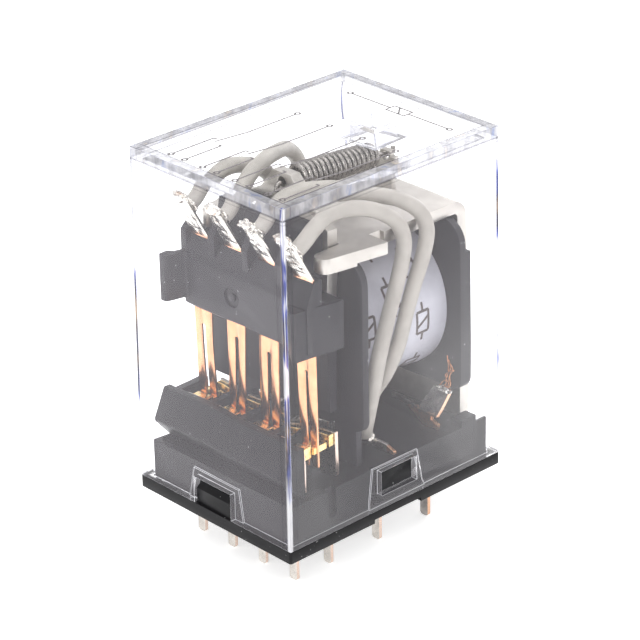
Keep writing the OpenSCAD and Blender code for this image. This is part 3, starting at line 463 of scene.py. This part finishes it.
def cover_edge():
    """The cover's rounded edges, coloured with painted reflections: grey along the rim, bright round the
    latches, dark, blue and white streaks between.
    """
    shade = Shade("cover_edge")
    # Painted reflection streaks for the edges between the latches and the rim
    upright = shade.ramp(shade.noise(0.4, 2, 0.5, (1, 1, 0.3)), [
        (0.3, (0.07, 0.07, 0.12)), (0.42, (0.16, 0.19, 0.55)),
        (0.5, (0.85, 0.86, 0.92)), (0.7, (0.92, 0.92, 0.95)),
    ])
    # Painted grey reflection tone along the rim edge
    rim = shade.ramp(shade.noise(0.5, 3), [(0.3, (0.22, 0.22, 0.27)), (0.7, (0.60, 0.60, 0.68))])
    height = shade.axis("Z")
    body = shade.mix(shade.spread(height, 0.0, 1.0, 6.2, 7.2), (0.86, 0.86, 0.90), upright)
    shade.colour(shade.mix(shade.spread(height, 0.0, 1.0, 34.2, 34.6), body, rim))
    shade.rough(shade.spread(shade.noise(3.0, 3), 0.08, 0.2))
    shade.constant(IOR=1.45, Transmission_Weight=0.4)
    return shade.material


def floor_paper():
    shade = Shade("floor_paper")
    shade.colour(shade.ramp(shade.noise(0.05, 2), [(0.3, (0.93, 0.93, 0.93)), (0.7, (0.95, 0.95, 0.95))]))
    shade.constant(Roughness=0.85, Emission_Color=(1, 1, 1, 1), Emission_Strength=0.6)
    return shade.material


# Two heights above the whole relay, for a metal that shows no bare copper
NO_BARE_COPPER = (90, 99)

materials = {
    "black_base": black_plastic("black_base", (0.006, 0.006, 0.007), (0.012, 0.0115, 0.013), 0.38, 0.5, 1.25),
    "black_plastic": black_plastic("black_plastic", (0.014, 0.013, 0.016), (0.024, 0.0225, 0.027),
                                   0.45, 0.9, 1.35),
    "tinned_copper": tinned_metal("tinned_copper", (0.56, 0.52, 0.48), (0.84, 0.80, 0.75),
                                  (0.80, 0.60, 0.50), *NO_BARE_COPPER),
    "coil_terminal_copper": tinned_metal("coil_terminal_copper", (0.20, 0.185, 0.18), (0.42, 0.39, 0.37),
                                         (0.90, 0.52, 0.33), 4.6, 7.0),
    "contact_gold": contact_gold(),
    "spring_copper": spring_copper(),
    "solder": solder(),
    "nickel_iron": metal("nickel_iron", (0.50, 0.47, 0.435), (0.60, 0.57, 0.53), 0.38,
                         grain=11, strength=0.25),
    "core_iron": metal("core_iron", (0.45, 0.44, 0.43), (0.62, 0.6, 0.58), 0.35),
    "enamelled_wire": enamelled_wire(),
    "white_tape": white_tape(),
    "spring_steel": metal("spring_steel", (0.20, 0.185, 0.175), (0.40, 0.375, 0.35), 0.24, strength=0.1),
    "grey_sleeve": wire_sleeve(),
    "clear_cover": clear_cover(),
    "cover_edge": cover_edge(),
    "printed_ink": printed_ink("printed_ink", (0.045, 0.03, 0.028), (0.09, 0.065, 0.06)),
    "faint_ink": printed_ink("faint_ink", (0.10, 0.085, 0.085), (0.18, 0.16, 0.16)),
}


def dress(thing, slot):
    thing.data.materials.clear()
    thing.data.materials.append(materials[slot])


# ---------------------------------------------------------------- finishing the CAD pieces

def dress_cad_pieces():
    for part in frame["record"]["subparts"]:
        dress(nodes[part["node"]], part["material_slot"])


def soften(name, width, segments=2, angle=28, edge_slot=-1):
    """Rounds a CAD node's edges by width in millimetres, with modifiers only."""
    thing = nodes[name]
    weld = thing.modifiers.new("weld", "WELD")
    weld.merge_threshold = 1e-7
    flat = thing.modifiers.new("flat", "DECIMATE")
    flat.decimate_type = "DISSOLVE"
    flat.angle_limit = math.radians(1)
    bevel = thing.modifiers.new("bevel", "BEVEL")
    bevel.width = width * MM
    bevel.segments = segments
    bevel.limit_method = "ANGLE"
    bevel.angle_limit = math.radians(angle)
    bevel.harden_normals = True
    bevel.material = edge_slot
    for face in thing.data.polygons:
        face.use_smooth = True


# ---------------------------------------------------------------- mesh building

def pole_y(pole):
    return (2.5 - pole) * PITCH


def spring_y(pole):
    return (2.5 - pole) * SPRING_PITCH


def curve_through(points, steps=6):
    """A smooth line through points, by centripetal Catmull-Rom pieces."""
    p = [Vector(q) for q in points]
    p = [p[0] * 2 - p[1], *p, p[-1] * 2 - p[-2]]
    line = []
    for i in range(1, len(p) - 2):
        a, b, c, d = p[i - 1:i + 3]
        t0, t1 = 0.0, max((b - a).length, 1e-6) ** 0.5
        t2 = t1 + max((c - b).length, 1e-6) ** 0.5
        t3 = t2 + max((d - c).length, 1e-6) ** 0.5
        for k in range(steps):
            t = t1 + (t2 - t1) * k / steps
            a1 = a * ((t1 - t) / (t1 - t0)) + b * ((t - t0) / (t1 - t0))
            a2 = b * ((t2 - t) / (t2 - t1)) + c * ((t - t1) / (t2 - t1))
            a3 = c * ((t3 - t) / (t3 - t2)) + d * ((t - t2) / (t3 - t2))
            b1 = a1 * ((t2 - t) / (t2 - t0)) + a2 * ((t - t0) / (t2 - t0))
            b2 = a2 * ((t3 - t) / (t3 - t1)) + a3 * ((t - t1) / (t3 - t1))
            line.append(b1 * ((t2 - t) / (t2 - t1)) + b2 * ((t - t1) / (t2 - t1)))
    line.append(p[-2])
    return line


def add_tube(mesh, line, radius, sides):
    """Sweeps a round section along line; radius is a number or one number per point."""
    radii = radius if isinstance(radius, list) else [radius] * len(line)
    way = (line[1] - line[0]).normalized()
    side = way.orthogonal().normalized()
    rings = []
    for i, point in enumerate(line):
        way = (line[min(i + 1, len(line) - 1)] - line[max(i - 1, 0)]).normalized()
        side = (side - way * side.dot(way)).normalized()
        other = way.cross(side)
        rings.append([
            mesh.verts.new((point + radii[i] * (math.cos(a) * side + math.sin(a) * other)) * MM)
            for a in (math.tau * k / sides for k in range(sides))
        ])
    for low, high in zip(rings, rings[1:]):
        for k in range(sides):
            mesh.faces.new((low[k], low[(k + 1) % sides], high[(k + 1) % sides], high[k]))
    mesh.faces.new(rings[0][::-1])
    mesh.faces.new(rings[-1])


def add_blob(mesh, centre, axes, radii, seed, lumps=0.18, fineness=3):
    """A lumpy closed drop: a ball stretched by radii along axes, pushed in and out by noise."""
    made = bmesh.ops.create_icosphere(mesh, subdivisions=fineness, radius=1)
    for vert in made["verts"]:
        way = vert.co.normalized()
        push = 1 + lumps * noise.noise(way * 1.7 + Vector((seed, 0, 0))) * 1.6
        push += lumps * 0.4 * noise.noise(way * 4.3 + Vector((0, seed, 0)))
        place = sum((axes[k] * (way[k] * radii[k] * push) for k in range(3)), Vector((0, 0, 0)))
        vert.co = (Vector(centre) + place) * MM


def add_strip(mesh, start, end, width, thickness, up=Vector((0, 0, 1))):
    """A flat bar from start to end, width across and thickness along up."""
    start, end = Vector(start), Vector(end)
    way = (end - start).normalized()
    across = way.cross(up).normalized() * (width / 2)
    lift = up.normalized() * thickness
    base = [start - across, start + across, end + across, end - across]
    low = [mesh.verts.new(p * MM) for p in base]
    high = [mesh.verts.new((p + lift) * MM) for p in base]
    mesh.faces.new(low[::-1])
    mesh.faces.new(high)
    for k in range(4):
        mesh.faces.new((low[k], low[(k + 1) % 4], high[(k + 1) % 4], high[k]))


def add_pillow(mesh, root, axes, low, high, half_low, half_high, depth, seed, cells=(10, 24)):
    """A thin crowned layer on a tapering strip: out along -axes[0], wide along axes[1], up along axes[2]."""
    out, across, along = -axes[0], axes[1], axes[2]
    sheets = []
    for crown in (1, 0):
        rows = []
        for j in range(cells[1] + 1):
            v = j / cells[1]
            half = half_low + (half_high - half_low) * v
            row = []
            for i in range(cells[0] + 1):
                u = 2 * i / cells[0] - 1
                rim = (1 - u ** 6) * (1 - (2 * v - 1) ** 10)
                wave = noise.noise(Vector((u * 1.5, v * 5, seed))) * 0.5
                wave += noise.noise(Vector((u * 4, v * 14, seed))) * 0.25
                lift = depth * max(0.0, rim) * (0.75 + wave) * crown
                wander = 0.07 * noise.noise(Vector((seed, v * 7, u)))
                place = root + across * (u * half + wander) + along * (low + (high - low) * v) + out * lift
                row.append(mesh.verts.new(place * MM))
            rows.append(row)
        sheets.append(rows)
    top, bottom = sheets
    for rows in sheets:
        for j in range(cells[1]):
            for i in range(cells[0]):
                mesh.faces.new((rows[j][i], rows[j][i + 1], rows[j + 1][i + 1], rows[j + 1][i]))
    edge = [(0, i) for i in range(cells[0])] + [(j, cells[0]) for j in range(cells[1])]
    edge += [(cells[1], i) for i in range(cells[0], 0, -1)] + [(j, 0) for j in range(cells[1], 0, -1)]
    for a, b in zip(edge, edge[1:] + edge[:1]):
        mesh.faces.new((top[a[0]][a[1]], top[b[0]][b[1]], bottom[b[0]][b[1]], bottom[a[0]][a[1]]))


def finish_piece(name, mesh, slot, look=None, smooth=True):
    bmesh.ops.recalc_face_normals(mesh, faces=mesh.faces)
    data = bpy.data.meshes.new(name)
    mesh.to_mesh(data)
    mesh.free()
    piece = bpy.data.objects.new(name, data)
    bpy.context.scene.collection.objects.link(piece)
    for face in data.polygons:
        face.use_smooth = smooth
    data.materials.append(materials[look or slot])
    return piece


# ---------------------------------------------------------------- flexible lead wires

WIRE_START_Z = (29.5, 29.5, 29.45, 28.95)
WIRE_LIFT = (1.25, 1.3, 1.3, 1.2)
WIRE_FREE = (
    (
        (-7.3, 6.75, 31.4), (-6.1, 6.75, 31.95), (-4.7, 6.95, 32.0), (-2.7, 7.3, 31.5),
        (-0.3, 7.8, 30.4), (1.6, 8.4, 28.8), (2.6, 8.6, 27.0), (2.6, 8.6, 24.8), (1.7, 8.6, 22.4),
        (0.6, 8.6, 19.7), (-0.4, 8.5, 16.0), (-0.9, 8.2, 12.6), (-0.9, 7.6, 10.3),
    ),
    (
        (-7.3, 2.45, 31.55), (-5.6, 3.05, 32.4), (-3.0, 4.0, 32.7), (-0.3, 5.2, 32.4), (2.4, 6.5, 31.6),
        (4.5, 7.6, 30.0), (5.7, 8.4, 28.3), (6.0, 8.6, 26.3), (5.4, 8.6, 24.2), (4.2, 8.6, 21.9),
        (3.0, 8.6, 19.2), (2.2, 8.3, 16.4), (1.6, 7.4, 13.5), (1.2, 6.2, 11.2), (1.0, 4.9, 9.0),
    ),
    (
        (-7.2, -2.5, 31.75), (-5.6, -3.15, 32.4), (-3.0, -4.1, 32.3), (-0.2, -5.0, 31.5), (2.1, -6.0, 31.0),
        (4.0, -7.2, 30.3), (5.4, -8.2, 29.0), (5.9, -8.6, 27.2), (5.4, -8.6, 24.8), (4.3, -8.6, 22.5),
        (3.1, -8.6, 19.7), (2.2, -8.3, 16.5), (1.6, -7.4, 13.5), (1.2, -6.2, 11.2), (1.0, -4.9, 9.0),
    ),
    (
        (-6.6, -6.75, 30.65), (-4.9, -6.7, 31.35), (-2.5, -7.0, 31.4), (0.2, -7.7, 30.6), (2.1, -8.4, 29.1),
        (2.9, -8.6, 27.2), (2.6, -8.6, 25.0), (1.7, -8.6, 22.5), (0.6, -8.6, 19.7), (-0.4, -8.5, 16.0),
        (-0.9, -8.2, 12.6), (-0.9, -7.6, 10.3),
    ),
)


def wire_start(pole):
    z = WIRE_START_Z[pole - 1]
    x = SPRING_X - (z - TIP_BEND_Z) * math.tan(TIP_ANGLE)
    return Vector((x, spring_y(pole), z)) + TIP_BACK * (SPRING_THICKNESS / 2 + SLOT_GAP)


def wire_route(pole):
    y = pole_y(pole)
    side = math.copysign(1, y)
    start = wire_start(pole)
    if abs(y) > PITCH:
        foot = [(-0.5, y + 0.1 * side, 8.2), (0.2, y - 0.9 * side, 6.75)]
    else:
        foot = [(1.0, y + 1.4 * side, 7.2), (1.1, y + 0.7 * side, 6.6)]
    return [start, start + TIP_BACK * WIRE_LIFT[pole - 1], *WIRE_FREE[pole - 1], *foot]


def make_lead_wires():
    for pole in POLES:
        line = curve_through(wire_route(pole))
        mesh = bmesh.new()
        add_tube(mesh, line, WIRE_RADIUS, 18)
        wire = finish_piece(f"sleeved_wire_{pole}", mesh, "grey_sleeve")
        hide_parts(f"lead_wire_{pole}")
        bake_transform(wire)


# ---------------------------------------------------------------- return spring

RETURN_START, RETURN_END = Vector((-2.9, 0, 32.05)), Vector((7.4, 0, 31.15))
RETURN_TURNS, RETURN_STEPS, RETURN_RADIUS, RETURN_WIRE = 17, 20, 1.15, 0.25
TAIL_EYE, ANCHOR_EYE, HOOK_REACH = Vector((-4.95, 0, 32.15)), Vector((9.85, 0, 30.35)), 0.9


def make_return_spring():
    way = (RETURN_END - RETURN_START).normalized()
    up = way.cross(Vector((0, 1, 0)))
    count = RETURN_TURNS * RETURN_STEPS
    lead_in = RETURN_STEPS / 2
    helix = []
    for k in range(count + 1):
        reach = RETURN_RADIUS * min(1, k / lead_in, (count - k) / lead_in)
        turn = math.tau * k / RETURN_STEPS
        helix.append(RETURN_START.lerp(RETURN_END, k / count)
                     + reach * (math.cos(turn) * up + math.sin(turn) * Vector((0, 1, 0))))
    head = [TAIL_EYE - Vector((0.1, 0, HOOK_REACH * 0.7)), TAIL_EYE - Vector((0.1, 0, 0.25)),
            TAIL_EYE + Vector((0.2, 0, 0)), RETURN_START - Vector((HOOK_REACH * 0.4, 0, 0))]
    tail = [RETURN_END + Vector((HOOK_REACH * 0.6, 0, -0.35)), ANCHOR_EYE - Vector((0.5, 0, 0)),
            ANCHOR_EYE - Vector((0.05, 0, 0.1)), ANCHOR_EYE + Vector((0.05, 0, HOOK_REACH * 0.7))]
    line = [*curve_through([*head, helix[0]], 4)[:-1], *helix, *curve_through([helix[-1], *tail], 4)[1:]]
    mesh = bmesh.new()
    add_tube(mesh, line, RETURN_WIRE, 10)
    spring = finish_piece("coiled_return_spring", mesh, "spring_steel")
    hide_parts("return_spring")
    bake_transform(spring)


# ---------------------------------------------------------------- solder

def make_tip_solder(pole):
    """Tinned front, a lumpy bead over the top edge, and the fillet that holds the wire at the back."""
    across = Vector((0, 1, 0))
    end = TIP_LENGTH - TIP_TRIMS[pole - 1]
    root = Vector((SPRING_X, spring_y(pole), TIP_BEND_Z))
    axes = (TIP_BACK, across, TIP_UP)
    chance = random.Random(40 + pole)
    mesh = bmesh.new()
    front = root - TIP_BACK * (SPRING_THICKNESS / 2 - 0.01)
    half_low, half_high = TIP_ROOT_WIDTH / 2 - 0.08, TIP_WIDTH / 2 + 0.03
    add_pillow(mesh, front, axes, 0.9, end - 0.1, half_low, half_high, 0.2, pole * 3.1)
    top = root + TIP_UP * (end - 0.25)
    add_blob(mesh, top - TIP_BACK * 0.05, axes, (0.46, TIP_WIDTH / 2 + 0.08, 0.52), pole * 5.7, 0.32, 4)
    for k in range(3):
        nudge = across * chance.uniform(-0.65, 0.65) + TIP_UP * chance.uniform(-0.35, 0.3)
        size = chance.uniform(0.26, 0.42)
        place = top + nudge - TIP_BACK * chance.uniform(-0.1, 0.3)
        add_blob(mesh, place, axes, (size,) * 3, pole + k * 9.3, 0.3, 3)
    joint = wire_start(pole) + TIP_BACK * 0.25
    add_blob(mesh, joint, axes, (0.5, 0.88, 0.95), pole * 7.9, 0.22, 4)
    drop = finish_piece(f"tip_joint_{pole}", mesh, "solder")
    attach(drop, "armature_assembly")
    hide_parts(f"tip_solder_{pole}")


def make_lug_solder(pole):
    low, high = (Vector(c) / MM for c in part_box(f"lug_solder_{pole}"))
    centre, half = (low + high) / 2, (high - low) / 2
    mesh = bmesh.new()
    add_blob(mesh, centre, AXES, tuple(h * 0.93 for h in half), pole * 2.3, 0.14, 4)
    drop = finish_piece(f"lug_joint_{pole}", mesh, "solder")
    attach(drop, "frame")
    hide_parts(f"lug_solder_{pole}")


# ---------------------------------------------------------------- coil ends

def make_coil_ends():
    for coil_end, side in ((1, 1), (2, -1)):
        chance = random.Random(70 + coil_end)
        box_high = Vector(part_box(f"coil_lead_{coil_end}")[1]) / MM
        x = box_high.x - 0.12
        mesh = bmesh.new()
        for k in range(5):
            sway = chance.uniform(-0.35, 0.35)
            line = curve_through([
                (x, side * (7.75 + 0.25 * k - 0.5), box_high.z - 0.35 * k),
                (x - 0.02, side * (7.6 + 0.2 * k + sway * 0.4), 11.2),
                (x - 0.25, side * (7.2 + 0.2 * k - sway), 10.2 + 0.1 * k),
                (x - 0.15, side * (6.9 + 0.25 * k + sway), 9.4),
                (x - 0.3, side * (6.3 + 0.25 * k), 8.95),
            ], 5)
            add_tube(mesh, line, 0.07, 8)
        leads = finish_piece(f"enamelled_strands_{coil_end}", mesh, "enamelled_wire")
        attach(leads, "frame")
        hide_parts(f"coil_lead_{coil_end}")
        low, high = (Vector(c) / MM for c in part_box(f"coil_solder_{coil_end}"))
        centre, half = (low + high) / 2, (high - low) / 2
        mesh = bmesh.new()
        add_blob(mesh, centre, AXES, (half.x, half.y, half.z * 1.05), coil_end * 4.1, 0.3, 4)
        drop = finish_piece(f"coil_joint_{coil_end}", mesh, "solder")
        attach(drop, "frame")
        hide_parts(f"coil_solder_{coil_end}")


# ---------------------------------------------------------------- printing

def make_tape_print():
    """A repeated generic coil sign: a box with a slanting stroke between two short lines."""
    mesh = bmesh.new()
    radius = COIL_RADIUS + 0.012
    pen = 0.27

    def on_tape(run, across):
        turn = run / COIL_RADIUS
        return Vector((across, radius * math.sin(turn), COIL_LEVEL + radius * math.cos(turn)))

    def stroke(run_a, across_a, run_b, across_b):
        pieces = max(1, round(abs(run_b - run_a) / 0.3))
        for k in range(pieces):
            a = on_tape(run_a + (run_b - run_a) * k / pieces, across_a + (across_b - across_a) * k / pieces)
            b = on_tape(run_a + (run_b - run_a) * (k + 1) / pieces,
                        across_a + (across_b - across_a) * (k + 1) / pieces)
            middle = (a + b) / 2
            add_strip(mesh, a, b, pen, 0.012, Vector((0, middle.y, middle.z - COIL_LEVEL)))

    repeat = math.tau * COIL_RADIUS / 8
    for column, across in enumerate((-1.2, 2.2, 5.6)):
        for k in range(8):
            at = repeat * (k + 0.37 * column)
            for corner_a, corner_b in (((0, 0), (2.2, 0)), ((2.2, 0), (2.2, 1.5)), ((2.2, 1.5), (0, 1.5)),
                                       ((0, 1.5), (0, 0)), ((0.6, 0), (1.6, 1.5))):
                stroke(at + corner_a[0], across + corner_a[1], at + corner_b[0], across + corner_b[1])
            stroke(at - 0.9, across + 0.75, at, across + 0.75)
            stroke(at + 2.2, across + 0.75, at + 3.1, across + 0.75)
    ink = finish_piece("tape_print", mesh, "white_tape", "printed_ink", smooth=False)
    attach(ink, "frame")


def make_roof_diagram():
    """A line-only changeover contact diagram under the roof, one row for each pole."""
    mesh = bmesh.new()
    level = RELAY_HEIGHT - ROOF - 0.02
    pen = 0.2

    def line(*points):
        for a, b in zip(points, points[1:]):
            add_strip(mesh, (*a, level), (*b, level), pen, 0.015)

    def dot(x, y, radius=0.26):
        turns = (math.tau * k / 12 for k in range(13))
        line(*((x + radius * math.cos(a), y + radius * math.sin(a)) for a in turns))

    for pole in POLES:
        y = pole_y(pole)
        line((-10.6, y + 1.15), (-5.6, y + 1.15), (-5.6, y + 0.75))
        line((-10.6, y - 0.75), (-6.4, y - 0.75), (-6.4, y - 0.35))
        line((-6.1, y + 0.45), (-2.4, y - 0.1), (3.6, y - 0.1))
        for x, dy in ((-10.9, 1.15), (-10.9, -0.75), (3.9, -0.1)):
            dot(x, y + dy)
    line((10.4, -1.2), (11.6, -1.2), (11.6, 1.2), (10.4, 1.2), (10.4, -1.2))
    line((10.4, -0.5), (11.6, 0.5))
    for side in (1, -1):
        line((11.0, 1.2 * side), (11.0, 6.4 * side))
        dot(11.0, 6.65 * side)
    ink = finish_piece("roof_diagram", mesh, "clear_cover", "faint_ink", smooth=False)
    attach(ink, "frame")


# ---------------------------------------------------------------- the whole model

# How far each node's edges are rounded, in millimetres
SINGLE_EDGES = (("base", 0.08), ("moving_block", 0.1), ("yoke", 0.08), ("armature", 0.08), ("bobbin", 0.08))
POLE_EDGES = (
    ("nc_terminal", 0.05), ("no_terminal", 0.05), ("com_terminal", 0.05), ("nc_contact", 0.12),
    ("no_contact", 0.12), ("moving_contact", 0.1), ("contact_spring", 0.03),
)

make_camera()
make_studio()
dress_cad_pieces()
nodes["cover"].data.materials.append(materials["cover_edge"])
soften("cover", 0.045, 2, 12, edge_slot=1)
for name, width in SINGLE_EDGES:
    soften(name, width)
for pole in POLES:
    for name, width in POLE_EDGES:
        soften(f"{name}_{pole}", width)
    make_tip_solder(pole)
    make_lug_solder(pole)
for coil_end in (1, 2):
    soften(f"coil_terminal_{coil_end}", 0.06)
make_lead_wires()
make_return_spring()
make_coil_ends()
make_tape_print()
make_roof_diagram()

floor_mesh = bmesh.new()
bmesh.ops.create_grid(floor_mesh, x_segments=1, y_segments=1, size=FLOOR_HALF)
floor_data = bpy.data.meshes.new("floor")
floor_mesh.to_mesh(floor_data)
floor_mesh.free()
floor = bpy.data.objects.new("floor", floor_data)
floor.location.z = -PINS_DOWN * MM
floor_data.materials.append(floor_paper())
bpy.context.scene.collection.objects.link(floor)
